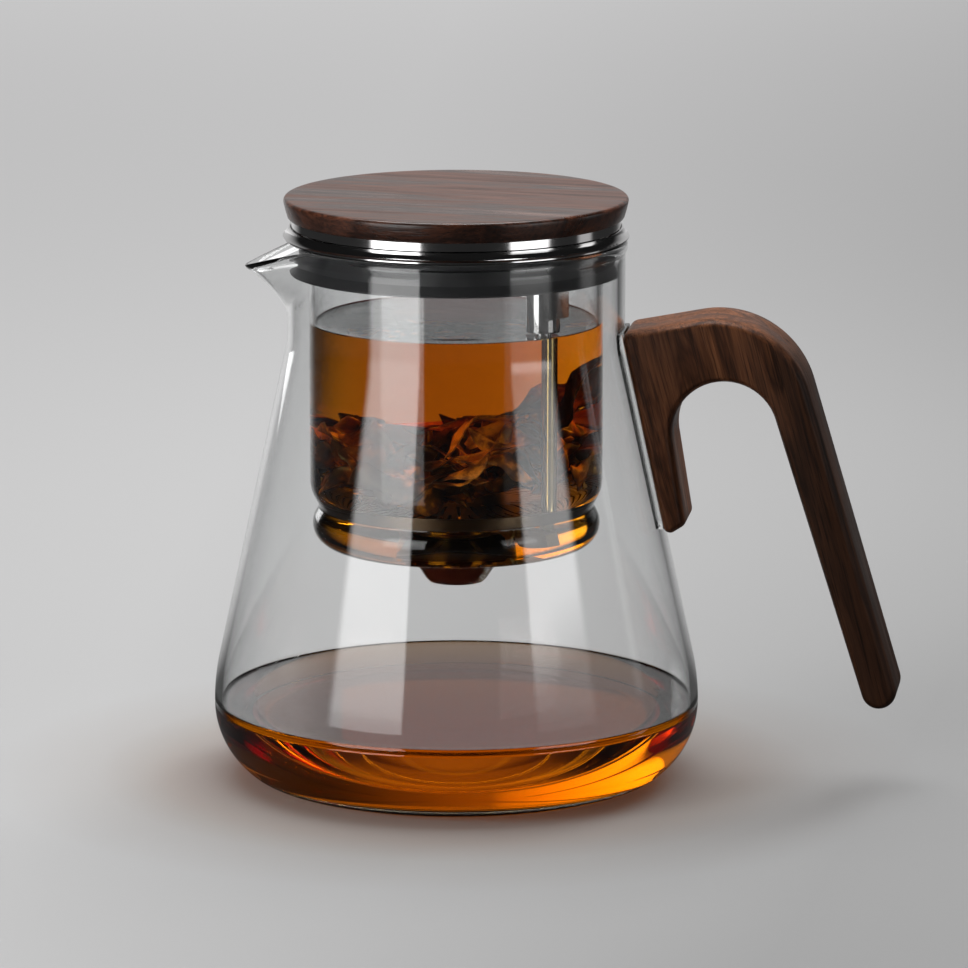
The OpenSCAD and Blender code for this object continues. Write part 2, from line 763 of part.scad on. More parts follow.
module lever_pin() {
    pin_len = lever_w + 2 * cheek_gap + 2 * cheek_t + 0.4;
    color("#c9ccce") rotate([0, 0, rod_angle]) translate([pivot_s, pin_len / 2, pivot_z])
        rotate([90, 0, 0]) cylinder(r = pin_r, h = pin_len, $fn = 48);
}

module lid_disc() {
    color("#6b5044") difference() {
        rotate_extrude() polygon([
            [0, band_top_z], [lid_r - lid_lean, band_top_z], [lid_r - lid_lean + 0.4, band_top_z + 0.6],
            [lid_r, lid_top_z - 2 * lid_bevel], [lid_r - lid_bevel / 3, lid_top_z - lid_bevel / 2],
            [lid_r - lid_bevel, lid_top_z], [0, lid_top_z]]);
        for (a = [0:120:240]) {
            rotate([0, 0, a + 30]) translate([screw_offset, 0, 0])
                rod(screw_r + fixed_gap, band_top_z - 1, screw_top_z + bore_end);
        }
    }
}

module lid_band() {
    color("#d4d7d9") difference() {
        union() {
            rod(band_r, band_top_z - band_h, band_top_z);
            rod(stem_r, plate_top_z + fixed_gap, band_top_z);
        }
        ring(band_r - band_t, stem_r, band_top_z - band_h - 1, band_plate_z);
        for (a = [0:120:240]) {
            rotate([0, 0, a + 30]) translate([screw_offset, 0, band_plate_z])
                cylinder(r1 = screw_head_r + fixed_gap, r2 = screw_r + fixed_gap,
                    h = band_plate_t + fixed_gap, $fn = 48);
        }
        rod(plate_screw_r + fixed_gap, plate_top_z - 1, plate_screw_top_z + bore_end);
    }
}

module disc_screws() {
    color("#aeb1b3") for (a = [0:120:240]) {
        rotate([0, 0, a + 30]) translate([screw_offset, 0, 0]) {
            translate([0, 0, band_plate_z])
                cylinder(r1 = screw_head_r, r2 = screw_r, h = band_plate_t, $fn = 48);
            rod(screw_r, band_top_z - 0.1, screw_top_z);
        }
    }
}

module lid_base() {
    color("#3a3b3d") difference() {
        union() {
            rod(base_r, base_z, base_top_z);
            rod(well_r, well_z, base_top_z);
        }
        rod(well_r - well_wall, well_z + well_floor_t, base_top_z + 1);
        rod(stem_r + running_gap, well_z - 1, base_top_z + 1);
    }
}

module lid_gasket() {
    color("#2b2b2d") ring(gasket_r, gasket_r - gasket_w, gasket_z, base_z);
}

module return_spring() {
    color("#c9ccce") coil(6, 0.4, well_z + well_floor_t + eps, band_plate_z - eps, 4);
}

module press_plate() {
    color("#b9bcbd") difference() {
        rod(plate_r, plate_z, plate_top_z);
        rod(plate_screw_r + fixed_gap, plate_z - 1, plate_top_z + 1);
    }
}

module plate_screw() {
    color("#aeb1b3") {
        rod(plate_screw_r, plate_z - 0.1, plate_screw_top_z);
        rod(plate_screw_head_r, plate_z - plate_screw_head_t, plate_z - fixed_gap);
    }
}

jug_glass();
handle();
handle_bond();
infuser_glass();
infuser_collar();
neck_seal();
filter_screen();
filter_rim();
rod_sleeve();
push_rod();
rod_button();
valve_housing();
housing_washer();
outlet_nozzle();
nozzle_washer();
valve_plug();
plug_seal();
valve_spring();
lever();
lever_bracket();
lever_pin();
lid_disc();
lid_band();
disc_screws();
lid_base();
lid_gasket();
return_spring();
press_plate();
plate_screw();
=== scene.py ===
import math
import random

import bpy
import bmesh
from mathutils import Euler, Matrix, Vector


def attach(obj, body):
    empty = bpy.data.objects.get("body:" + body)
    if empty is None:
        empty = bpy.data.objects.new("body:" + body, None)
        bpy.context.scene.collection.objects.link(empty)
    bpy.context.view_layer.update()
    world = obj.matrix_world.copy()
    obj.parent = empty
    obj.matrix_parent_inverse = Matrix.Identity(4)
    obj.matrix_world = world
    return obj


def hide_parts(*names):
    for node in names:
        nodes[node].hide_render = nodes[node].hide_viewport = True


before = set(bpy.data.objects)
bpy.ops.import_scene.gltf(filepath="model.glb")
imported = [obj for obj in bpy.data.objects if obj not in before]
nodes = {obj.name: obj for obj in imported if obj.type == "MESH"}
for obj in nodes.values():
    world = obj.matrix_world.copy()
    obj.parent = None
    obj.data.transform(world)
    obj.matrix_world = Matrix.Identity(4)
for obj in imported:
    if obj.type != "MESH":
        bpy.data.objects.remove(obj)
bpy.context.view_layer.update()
MM = 0.001

# ---------------------------------------------------------------- sizes, in millimetres
BOWL_R, BOWL_Z, BOWL_LOWER_ROUND, BOWL_UPPER_ROUND, FOOT_ROUND = 67.0, 20.5, 23.5, 60.0, 10.0
NECK_R, NECK_Z, SHOULDER_ROUND, RIM_Z = 46.4, 124.0, 22.0, 149.8
JUG_WALL, JUG_FLOOR, JUG_LEVEL = 2.0, 4.0, 21.3
LIP_ANGLE, LIP_SOFT, LIP_FOOT_Z, LIP_DROP, LIP_POWER = 41.0, 3.2, 128.5, 8.6, 1.15
CUP_R, CUP_WALL, CUP_TOP_Z, CUP_FLOOR_Z, CUP_HOLE_R = 40.3, 1.5, 149.2, 64.6, 9.0
BULGE_ROUND, BULGE_INSET, CUP_SHOULDER_ROUND, CUP_SHOULDER_H = 6.0, 0.7, 10.0, 18.4
WAIST_H, WAIST_DEPTH, WAIST_ROUND = 11.0, 2.45, 1.1
SCREEN_TOP_Z, TEA_LEVEL = 78.8, 127.2
ROD_ANGLE, ROD_OFFSET = math.radians(-35), 31.5
HANDLE_T, HANDLE_EDGE_IN, HANDLE_EDGE_DEPTH, BOND_T = 24.0, 1.9, 4.0, 1.2
TIP_OUT, TIP_Z, TIP_R = 71.5, 28.0, 4.8
CROWN_OUT, CROWN_Z, CROWN_R = 25.9, 103.8, 26.8
ARCH_OUT, ARCH_Z, ARCH_R = 28.7, 98.8, 14.4
ROOT_Z, ROOT_R, HEEL_Z, HEEL_R, HEEL_W, HEEL_RISE = 124.1, 2.6, 72.8, 2.0, 2.2, 1.4
LID_R, LID_Z, LID_T, LID_ROUND = 47.2, 155.6, 5.7, 1.0
# Turn of the camera round the pot, from straight in front towards the handle.
HANDLE_TURN = math.radians(8.0)


# ---------------------------------------------------------------- outlines: circles joined by tangents
def link_angle(a, b):
    """Angle of the outward normal of the straight line from circle a to circle b, in degrees."""
    dx, dy = a[0] - b[0], a[1] - b[1]
    share = max(-1.0, min(1.0, (b[2] - a[2]) / math.hypot(dx, dy)))
    return math.degrees(math.atan2(dy, dx)) + math.degrees(math.acos(share))


def one_turn(a):
    """The angle brought into one turn, where a value just under zero stays there."""
    return a - 360 * math.floor((a + 0.001) / 360)


def arc_points(c, start, end, step):
    """Points on a circle from one angle to another; a positive radius turns counterclockwise."""
    turn = one_turn(end - start) if c[2] > 0 else -one_turn(start - end)
    n = max(1, math.ceil(abs(turn) / step))
    angles = [math.radians(start + turn * i / n) for i in range(n + 1)]
    return [(c[0] + c[2] * math.cos(a), c[1] + c[2] * math.sin(a)) for a in angles]


def path_points(circles, start, end, step=3.0):
    """An open outline round circles, from an angle on the first to an angle on the last."""
    out = []
    for i, c in enumerate(circles):
        a = start if i == 0 else link_angle(circles[i - 1], c)
        b = end if i == len(circles) - 1 else link_angle(c, circles[i + 1])
        out += arc_points(c, a, b, step)
    return out


def outline_arcs(circles, step):
    """The arcs of a closed outline, one list of points for each circle."""
    n = len(circles)
    return [
        arc_points(c, link_angle(circles[i - 1], c), link_angle(c, circles[(i + 1) % n]), step)
        for i, c in enumerate(circles)
    ]


def moved_in(circles, d):
    """The circles of the same outline, moved d inwards."""
    return [(c[0], c[1], c[2] - d) for c in circles]


def corner_circle(x, y, big_r, r, z):
    """The circle of radius r that rounds the corner between a big circle and the flat at height z."""
    return (x + math.sqrt((big_r - r) ** 2 - (y - z - r) ** 2), z + r, r)


def spaced(points, longest):
    """The same path with points no further apart than longest."""
    out = [points[0]]
    for p, q in zip(points, points[1:]):
        n = max(1, math.ceil(math.dist(p, q) / longest))
        out += [(p[0] + (q[0] - p[0]) * i / n, p[1] + (q[1] - p[1]) * i / n) for i in range(1, n + 1)]
    return out


# Circles are (x, z, radius), and hollow rounds have a negative radius.
BOWL = [
    (BOWL_R - BOWL_LOWER_ROUND, BOWL_Z, BOWL_LOWER_ROUND),
    (BOWL_R - BOWL_UPPER_ROUND, BOWL_Z, BOWL_UPPER_ROUND),
    (NECK_R + SHOULDER_ROUND, NECK_Z, -SHOULDER_ROUND)]
FOOT = corner_circle(BOWL_R - BOWL_LOWER_ROUND, BOWL_Z, BOWL_LOWER_ROUND, FOOT_ROUND, 0)
INNER_FOOT = corner_circle(
    BOWL_R - BOWL_LOWER_ROUND, BOWL_Z, BOWL_LOWER_ROUND - JUG_WALL, FOOT_ROUND - JUG_WALL, JUG_FLOOR)
# The infuser's bulge, its waist, and the shoulder above the waist.
CUP = [
    (CUP_R - BULGE_INSET - BULGE_ROUND, CUP_FLOOR_Z + BULGE_ROUND, BULGE_ROUND),
    (CUP_R - WAIST_DEPTH + WAIST_ROUND, CUP_FLOOR_Z + WAIST_H, -WAIST_ROUND),
    (CUP_R - CUP_SHOULDER_ROUND, CUP_FLOOR_Z + CUP_SHOULDER_H, CUP_SHOULDER_ROUND)]
cone_angle = link_angle(BOWL[1], BOWL[2])
cone_start = (
    BOWL[1][0] + BOWL[1][2] * math.cos(math.radians(cone_angle)),
    BOWL[1][1] + BOWL[1][2] * math.sin(math.radians(cone_angle)),
)


def cone_r(z):
    """Outside radius of the jug's cone at a height."""
    return cone_start[0] - (z - cone_start[1]) * math.tan(math.radians(cone_angle))


def beside_cone(z, r):
    """Distance from the axis of a circle of radius r that lies against the bond on the cone."""
    return cone_r(z) + (BOND_T + r) / math.cos(math.radians(cone_angle))


# ---------------------------------------------------------------- mesh helpers
def new_object(name, verts, faces, material, body):
    """A smooth mesh from points in millimetres, riding on a body of the part."""
    mesh = bpy.data.meshes.new(name)
    mesh.from_pydata([tuple(c * MM for c in v) for v in verts], [], faces)
    mesh.validate()
    bm = bmesh.new()
    bm.from_mesh(mesh)
    bmesh.ops.recalc_face_normals(bm, faces=bm.faces)
    bm.to_mesh(mesh)
    bm.free()
    mesh.shade_smooth()
    obj = bpy.data.objects.new(name, mesh)
    bpy.context.scene.collection.objects.link(obj)
    mesh.materials.append(material)
    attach(obj, body)
    return obj


ON_AXIS = 1e-6


def revolve(profile, n, shape=None, closed=False):
    """Vertices and faces of a profile of (r, z) turned round Z; shape moves a point (r, z, angle)."""
    verts, rings = [], []
    for r, z in profile:
        if r < ON_AXIS:
            rings.append([len(verts)] * n)
            verts.append((0.0, 0.0, z))
            continue
        rings.append(list(range(len(verts), len(verts) + n)))
        for i in range(n):
            a = 2 * math.pi * i / n
            rr, zz = shape(r, z, a) if shape else (r, z)
            verts.append((rr * math.cos(a), rr * math.sin(a), zz))
    pairs = list(zip(rings, rings[1:]))
    if closed:
        pairs.append((rings[-1], rings[0]))
    faces = []
    for low, high in pairs:
        for i in range(n):
            j = (i + 1) % n
            ring = [low[i], low[j], high[j], high[i]]
            face = [v for k, v in enumerate(ring) if v != ring[k - 1]]
            if len(face) > 2:
                faces.append(face)
    return verts, faces


# ---------------------------------------------------------------- node helpers
def node_material(name):
    mat = bpy.data.materials.new(name)
    mat.use_nodes = True
    tree = mat.node_tree
    return mat, tree, tree.nodes["Principled BSDF"]


def add(tree, kind, **values):
    node = tree.nodes.new(kind)
    for key, value in values.items():
        setattr(node, key, value)
    return node


def feed(tree, socket, value):
    """Links an output to a socket, or sets the socket to a plain value."""
    if isinstance(value, bpy.types.NodeSocket):
        tree.links.new(value, socket)
    else:
        socket.default_value = value


def set_values(shader, **values):
    """Sets uniform values on sockets; an underscore stands for a space in the socket's name."""
    for key, value in values.items():
        shader.inputs[key.replace("_", " ")].default_value = value


def maths(tree, operation, first, second):
    node = add(tree, "ShaderNodeMath", operation=operation)
    feed(tree, node.inputs[0], first)
    feed(tree, node.inputs[1], second)
    return node.outputs["Value"]


def vectors(tree, operation, first, second=None):
    node = add(tree, "ShaderNodeVectorMath", operation=operation)
    feed(tree, node.inputs[0], first)
    if second is not None:
        feed(tree, node.inputs[1], second)
    return node


def mixed(tree, data_type, factor, first, second, **values):
    """A mix; its sockets are 2, 3 and 0 for floats, and 6, 7 and 2 for colours."""
    node = add(tree, "ShaderNodeMix", data_type=data_type, **values)
    a, b, out = (2, 3, 0) if data_type == "FLOAT" else (6, 7, 2)
    feed(tree, node.inputs[0], factor)
    feed(tree, node.inputs[a], first)
    feed(tree, node.inputs[b], second)
    return node.outputs[out]


def spread(tree, value, low, high, to_low=0.0, to_high=1.0, kind="LINEAR"):
    """A value between low and high, laid between to_low and to_high and held past its ends."""
    node = add(tree, "ShaderNodeMapRange", interpolation_type=kind)
    for name, number in zip(("From Min", "From Max", "To Min", "To Max"), (low, high, to_low, to_high)):
        node.inputs[name].default_value = number
    tree.links.new(value, node.inputs["Value"])
    return node.outputs["Result"]


def ramp(tree, value, stops):
    node = add(tree, "ShaderNodeValToRGB")
    elements = node.color_ramp.elements
    while len(elements) < len(stops):
        elements.new(0.5)
    for element, (place, colour) in zip(elements, stops):
        element.position = place
        element.color = (*colour, 1.0)
    tree.links.new(value, node.inputs["Fac"])
    return node.outputs["Color"]


def grey_ramp(tree, value, stops):
    return ramp(tree, value, [(place, (level, level, level)) for place, level in stops])


def noise_of(tree, vector, scale, detail, rough, distortion=0.0):
    node = add(tree, "ShaderNodeTexNoise")
    set_values(node, Scale=scale, Detail=detail, Roughness=rough, Distortion=distortion)
    tree.links.new(vector, node.inputs["Vector"])
    return node.outputs["Fac"]


def bump_of(tree, shader, height, strength, distance):
    node = add(tree, "ShaderNodeBump")
    set_values(node, Strength=strength, Distance=distance)
    tree.links.new(height, node.inputs["Height"])
    tree.links.new(node.outputs["Normal"], shader.inputs["Normal"])


def object_place(tree):
    return add(tree, "ShaderNodeTexCoord").outputs["Object"]


def axes_of(tree, vector):
    node = add(tree, "ShaderNodeSeparateXYZ")
    tree.links.new(vector, node.inputs["Vector"])
    return node.outputs


def mapped(tree, scale=(1.0, 1.0, 1.0), rotation=(0.0, 0.0, 0.0)):
    """Object coordinates, turned first and stretched after."""
    turned = add(tree, "ShaderNodeMapping")
    stretched = add(tree, "ShaderNodeMapping")
    turned.inputs["Rotation"].default_value = rotation
    stretched.inputs["Scale"].default_value = scale
    tree.links.new(object_place(tree), turned.inputs["Vector"])
    tree.links.new(turned.outputs["Vector"], stretched.inputs["Vector"])
    return stretched.outputs["Vector"]


def light_path(tree):
    return add(tree, "ShaderNodeLightPath").outputs


# ---------------------------------------------------------------- materials
WHITE = (1.0, 1.0, 1.0, 1.0)
# Share of the lamps' light that a wall of glass lets through.
LAMP_SHARE = 0.97
# Where glass meets tea, the glass has its refraction against tea, and the tea's own wall bends nothing.
GLASS_IOR, TEA_IOR, ADHESIVE_IOR, UNBENT_IOR = 1.47, 1.333, 1.5, 1.0


def lets_lamps_through(tree, tint, unbent=False):
    """Light from lamps passes unbent, so that what is inside is lit. With unbent, so does all light."""
    shadow = light_path(tree)["Is Shadow Ray"]
    clear = add(tree, "ShaderNodeBsdfTransparent")
    mix = add(tree, "ShaderNodeMixShader")
    tint = (*tint, 1.0)
    feed(tree, clear.inputs["Color"], mixed(tree, "RGBA", shadow, WHITE, tint) if unbent else tint)
    feed(tree, mix.inputs[0], 1.0 if unbent else shadow)
    tree.links.new(tree.nodes["Principled BSDF"].outputs["BSDF"], mix.inputs[1])
    tree.links.new(clear.outputs["BSDF"], mix.inputs[2])
    tree.links.new(mix.outputs["Shader"], tree.nodes["Material Output"].inputs["Surface"])


def glass(name, ior, tint, roughness=0.0):
    mat, tree, shader = node_material(name)
    set_values(shader, Base_Color=(*tint, 1.0), Transmission_Weight=1.0, Roughness=roughness, IOR=ior)
    lets_lamps_through(tree, tuple(c * LAMP_SHARE for c in tint))
    return mat


def tea(name, ior, colour, density, shadow):
    mat, tree, shader = node_material(name)
    set_values(shader, Base_Color=WHITE, Transmission_Weight=1.0, Roughness=0.0, IOR=ior)
    lets_lamps_through(tree, shadow, unbent=ior == UNBENT_IOR)
    volume = add(tree, "ShaderNodeVolumeAbsorption")
    set_values(volume, Color=(*colour, 1.0), Density=density)
    tree.links.new(volume.outputs["Volume"], tree.nodes["Material Output"].inputs["Volume"])
    return mat


def walnut(name, rotation, tones, coat, gloss, specular, painted_light_near_jug=None):
    """Long figure, fine fibre streaks and dark pores, all stretched along the grain. tones are dark, middle
    and light, gloss is the smoothest and roughest, and paler is two distances along X in metres and how
    many times brighter the wood is painted before the first: painted light on the wood nearest the jug."""
    mat, tree, shader = node_material(name)
    figure = noise_of(tree, mapped(tree, (1.0, 9.0, 9.0), rotation), 7.0, 5.0, 0.62, 1.2)
    fibre = noise_of(tree, mapped(tree, (6.0, 160.0, 160.0), rotation), 6.0, 3.0, 0.6)
    pores = noise_of(tree, mapped(tree, (12.0, 420.0, 420.0), rotation), 5.0, 2.0, 0.5)
    dark, mid, light = tones
    bands = ramp(tree, figure, [(0.28, dark), (0.47, mid), (0.55, dark), (0.66, mid), (0.82, light)])
    streak = grey_ramp(tree, fibre, [(0.3, 0.5), (0.7, 1.35)])
    pore = grey_ramp(tree, pores, [(0.36, 0.35), (0.44, 1.0)])
    colour = mixed(tree, "RGBA", 1.0, bands, streak, blend_type="MULTIPLY")
    colour = mixed(tree, "RGBA", 0.8, colour, pore, blend_type="MULTIPLY")
    # Painted light: the colour is scaled brighter towards the jug.
    if painted_light_near_jug:
        near, far, painted_brightening = painted_light_near_jug
        shade = vectors(tree, "SCALE", colour)
        along = axes_of(tree, object_place(tree))["X"]
        feed(tree, shade.inputs["Scale"], spread(tree, along, near, far, painted_brightening, 1.0, "SMOOTHSTEP"))
        colour = shade.outputs["Vector"]
    tree.links.new(colour, shader.inputs["Base Color"])
    tree.links.new(spread(tree, figure, 0.35, 0.7, gloss[1], gloss[0]), shader.inputs["Roughness"])
    set_values(shader, Specular_IOR_Level=specular, Coat_Weight=coat, Coat_Roughness=0.2)
    bump_of(tree, shader, pore, 0.35, 0.00008)
    return mat


def steel(name, colour, roughness, brush):
    """Metal with fine lines in its gloss; brush is how much they are squeezed along each axis."""
    mat, tree, shader = node_material(name)
    set_values(shader, Metallic=1.0, Base_Color=(*colour, 1.0))
    lines = noise_of(tree, mapped(tree, brush), 30.0, 3.0, 0.6)
    rough = spread(tree, lines, 0.0, 1.0, roughness * 0.7, roughness * 1.4)
    tree.links.new(rough, shader.inputs["Roughness"])
    return mat


def moulded(name, colour, roughness, coat=0.0):
    """Moulded rubber or plastic, a little cloudy, with a fine grain."""
    mat, tree, shader = node_material(name)
    cloud = noise_of(tree, mapped(tree), 60.0, 3.0, 0.5)
    tone = ramp(tree, cloud, [(0.3, tuple(c * 0.85 for c in colour)), (0.7, tuple(c * 1.15 for c in colour))])
    tree.links.new(tone, shader.inputs["Base Color"])
    set_values(shader, Roughness=roughness, Coat_Weight=coat, Coat_Roughness=0.08)
    bump_of(tree, shader, noise_of(tree, mapped(tree), 900.0, 2.0, 0.5), 0.2, 0.00002)
    return mat


def leaf_material():
    """Steeped leaf: nearly black in its own colour, with golden patches of painted light that stand for light
    shining through the leaf.
    """
    mat, tree, shader = node_material("tea_leaf")
    cloud = noise_of(tree, mapped(tree), 220.0, 4.0, 0.6)
    painted_glow_patches = noise_of(tree, mapped(tree), 70.0, 2.0, 0.5)
    blend = maths(tree, "ADD", maths(tree, "MULTIPLY", cloud, 0.35), maths(tree, "MULTIPLY", painted_glow_patches, 0.65))
    # The golden stops are painted light shining through the leaf; the dark ones are the leaf's own colour.
    tone = ramp(tree, blend, [
        (0.35, (0.008, 0.0025, 0.001)), (0.47, (0.03, 0.009, 0.002)), (0.54, (0.16, 0.05, 0.006)),
        (0.61, (0.8, 0.32, 0.03))])
    tree.links.new(tone, shader.inputs["Base Color"])
    set_values(shader, Roughness=0.42)
    bump_of(tree, shader, cloud, 0.6, 0.0003)
    return mat


clear_glass = glass("clear_glass", GLASS_IOR, (0.985, 0.99, 0.99))
wetted_glass = glass("wetted_glass", GLASS_IOR / TEA_IOR, (0.99, 0.99, 0.99))
adhesive = glass("clear_adhesive", ADHESIVE_IOR, (0.96, 0.97, 0.96), 0.04)
# Colour, density, and the tint of the lamps' light that passes.
INFUSER_TEA = ((0.93, 0.74, 0.1), 105.0, (0.9, 0.5, 0.12))
JUG_TEA = ((0.975, 0.84, 0.3), 110.0, (0.95, 0.5, 0.1))
infuser_tea = [
    tea("infuser_tea", TEA_IOR, *INFUSER_TEA), tea("infuser_tea_at_glass", UNBENT_IOR, *INFUSER_TEA)]
jug_tea = [tea("jug_tea", TEA_IOR, *JUG_TEA), tea("jug_tea_at_glass", UNBENT_IOR, *JUG_TEA)]
# The handle's wood is painted brighter nearest the jug, as painted light.
handle_wood = walnut(
    "handle_walnut", rotation=(0.0, math.radians(105), 0.0),
    tones=((0.018, 0.006, 0.0023), (0.055, 0.02, 0.008), (0.16, 0.07, 0.03)),
    coat=0.0, gloss=(0.34, 0.55), specular=0.15, painted_light_near_jug=(0.074, 0.1, 4.0))
lid_wood = walnut(
    "lid_walnut", rotation=(0.0, 0.0, math.radians(8)),
    tones=((0.03, 0.009, 0.004), (0.11, 0.036, 0.018), (0.32, 0.14, 0.08)),
    coat=0.1, gloss=(0.2, 0.45), specular=0.45)
polished = steel("polished_steel", (0.62, 0.61, 0.61), 0.1, (1, 1, 60))
rod_steel = steel("rod_steel", (0.62, 0.61, 0.6), 0.12, (40, 40, 1))
satin = steel("satin_steel", (0.55, 0.54, 0.53), 0.28, (1, 1, 40))
# Steel darkened and tinted amber: a painted dark reflection of the tea round the screen.
steel_painted_amber = steel("steel_painted_dark_amber", (0.06, 0.042, 0.028), 0.3, (1, 1, 40))
spring_wire = steel("spring_wire", (0.5, 0.5, 0.5), 0.25, (1, 1, 1))
silicone = moulded("grey_silicone", (0.012, 0.012, 0.013), 0.42)
polymer = moulded("dark_polymer", (0.05, 0.01, 0.004), 0.12, 1.0)
leaf = leaf_material()

for name, mat in {
    "infuser_collar": polished, "lid_band": polished,
    "filter_screen": steel_painted_amber, "filter_rim": steel_painted_amber, "rod_sleeve": rod_steel, "push_rod": rod_steel,
    "rod_button": satin, "lever": satin, "lever_bracket": satin, "lever_pin": satin,
    "press_plate": satin, "valve_plug": satin, "disc_screws": satin, "plate_screw": satin,
    "valve_spring": spring_wire, "return_spring": spring_wire,
    "neck_seal": silicone, "housing_washer": silicone, "nozzle_washer": silicone,
    "lid_gasket": silicone, "plug_seal": silicone,
    "valve_housing": polymer, "outlet_nozzle": polymer, "lid_base": polymer,
    "handle_bond": adhesive,
}.items():
    for slot in nodes[name].material_slots:
        slot.material = mat

# ---------------------------------------------------------------- jug with its pulled lip
def split_at(profile, z):
    """The same rising outline with a point at height z."""
    out = []
    for p, q in zip(profile, profile[1:]):
        out.append(p)
        if p[1] < z < q[1]:
            share = (z - p[1]) / (q[1] - p[1])
            out.append((p[0] + (q[0] - p[0]) * share, z))
    return out + [profile[-1]]


def outline_r(profile, z):
    """Radius of an outline of (r, z) points at a height."""
    for (r0, z0), (r1, z1) in zip(profile, profile[1:]):
        if z0 <= z <= z1 and z1 > z0:
            return r0 + (r1 - r0) * (z - z0) / (z1 - z0)
    return profile[0][0] if z < profile[0][1] else profile[-1][0]


TURN_STEPS, LIQUID_STEPS, DISC_STEPS = 288, 192, 256
FLAT_R, FLAT_STEP, RIM_STEP = 6.0, 6.0, 1.2
outer = spaced(path_points([FOOT] + BOWL, -90, 0, 2.0), 3.0)
inner = split_at(spaced(path_points([INNER_FOOT] + moved_in(BOWL, JUG_WALL), -90, 0, 2.0), 3.0), JUG_LEVEL)
rim_bead = [
    (46.4, 145.8), (46.5, 146.3), (46.8, 146.8), (47.0, 147.5), (47.0, 148.4), (46.8, 149.1),
    (46.35, 149.6), (45.7, 149.8), (45.0, 149.7), (44.55, 149.35), (44.4, 148.8)]
jug_profile = (
    [(0.0, 0.0)] + spaced([(FLAT_R, 0.0), outer[0]], FLAT_STEP) + outer[1:]
    + spaced([outer[-1], rim_bead[0]], RIM_STEP)[1:] + rim_bead[1:]
    + spaced([rim_bead[-1], inner[-1]], RIM_STEP)[1:] + inner[::-1][1:]
    + spaced([inner[0], (FLAT_R, JUG_FLOOR)], FLAT_STEP)[1:] + [(0.0, JUG_FLOOR)])


def lip(r, z, a):
    """Pulls the neck into a pointed lip towards -X: a straight line from each side to the tip."""
    if z < LIP_FOOT_Z:
        return r, z
    off = math.degrees(abs(math.pi - a % (2 * math.pi)))
    soft = math.hypot(off, LIP_SOFT)
    height = (z - LIP_FOOT_Z) / (RIM_Z - LIP_FOOT_Z)
    reach = max(0.0, LIP_ANGLE * math.sqrt(height) - soft)
    full = math.radians(max(0.0, LIP_ANGLE - soft))
    drop = LIP_DROP * (math.tan(full) / math.tan(math.radians(LIP_ANGLE - LIP_SOFT))) ** LIP_POWER
    return r / math.cos(math.radians(reach)), z - drop * height


def wet(obj, low, high, reach):
    """Gives the inside of a glass, from its floor to the level of the tea, the glass to tea surface.
    reach is the radius of the middle of the wall at a height."""
    under_floor = 0.2
    obj.data.materials.append(wetted_glass)
    for face in obj.data.polygons:
        c = face.center / MM
        if low - under_floor < c.z < high and math.hypot(c.x, c.y) < reach(c.z):
            face.material_index = 1


verts, faces = revolve(jug_profile, TURN_STEPS, lip)
jug = new_object("jug_blown_glass", verts, faces, clear_glass, "jug")
wet(jug, JUG_FLOOR, JUG_LEVEL, lambda z: outline_r(outer, z) - JUG_WALL / 2)
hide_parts("jug_glass")

# ---------------------------------------------------------------- infuser glass
cup_outer = spaced(path_points(CUP, -90, 0, 3.0), 3.0)
cup_inner = spaced(path_points(moved_in(CUP, CUP_WALL), -90, 0, 3.0), 3.0)
cup_inner_r, cup_side_z, CUP_EDGE, CUP_STEP = CUP_R - CUP_WALL, CUP_TOP_Z - 0.4, 0.3, 4.0
cup_wall_top = spaced([(cup_inner_r, cup_side_z), (cup_inner_r, TEA_LEVEL), cup_inner[-1]], CUP_STEP)
cup_profile = (
    spaced([(CUP_HOLE_R, CUP_FLOOR_Z), cup_outer[0]], CUP_STEP)[:-1] + cup_outer
    + spaced([cup_outer[-1], (CUP_R, cup_side_z)], CUP_STEP)[1:]
    + [(CUP_R - CUP_EDGE, CUP_TOP_Z), (cup_inner_r + CUP_EDGE, CUP_TOP_Z)]
    + cup_wall_top + cup_inner[::-1][1:]
    + spaced([cup_inner[0], (CUP_HOLE_R, CUP_FLOOR_Z + CUP_WALL)], CUP_STEP)[1:])
verts, faces = revolve(cup_profile, TURN_STEPS, closed=True)
cup = new_object("infuser_blown_glass", verts, faces, clear_glass, "infuser")
wet(cup, CUP_FLOOR_Z + CUP_WALL, TEA_LEVEL, lambda z: outline_r(cup_outer, z) - CUP_WALL / 2)
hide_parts("infuser_glass")


# ---------------------------------------------------------------- tea, with a meniscus at the glass
def liquid(name, wall, level, materials, body):
    """wall is the inner profile from the floor up past the level. The tea overlaps the glass a little,
    and climbs it at its edge. Its walls have the second material."""
    overlap, meniscus = 0.12, [(0.0, 0.35), (0.25, 0.16), (0.6, 0.05), (1.2, 0.0)]
    below = [(r + (overlap if r > 1 else 0), z) for r, z in wall if z < level]
    edge_r = below[-1][0]
    profile = [(0.0, wall[0][1] - overlap)] + below
    profile += [(edge_r - inwards, level + climb) for inwards, climb in meniscus]
    profile += [(r, level) for r in range(int(edge_r) - 6, 5, -6)] + [(0.0, level)]
    verts, faces = revolve(profile, LIQUID_STEPS)
    obj = new_object(name, verts, faces, materials[0], body)
    obj.data.materials.append(materials[1])
    for face in obj.data.polygons:
        face.material_index = 0 if face.center.z / MM > level - 0.05 else 1


jug_wall_line = [(FLAT_R, JUG_FLOOR - 0.1)] + inner
liquid("tea_in_jug", jug_wall_line, JUG_LEVEL, jug_tea, "jug")
cup_wall_line = [(FLAT_R, CUP_FLOOR_Z + CUP_WALL - 0.1)] + cup_inner + [
    (cup_inner_r, z) for z in range(86, int(TEA_LEVEL), 3)]
liquid("tea_in_infuser", cup_wall_line, TEA_LEVEL, infuser_tea, "infuser")

# ---------------------------------------------------------------- tea leaves
rng = random.Random(7)


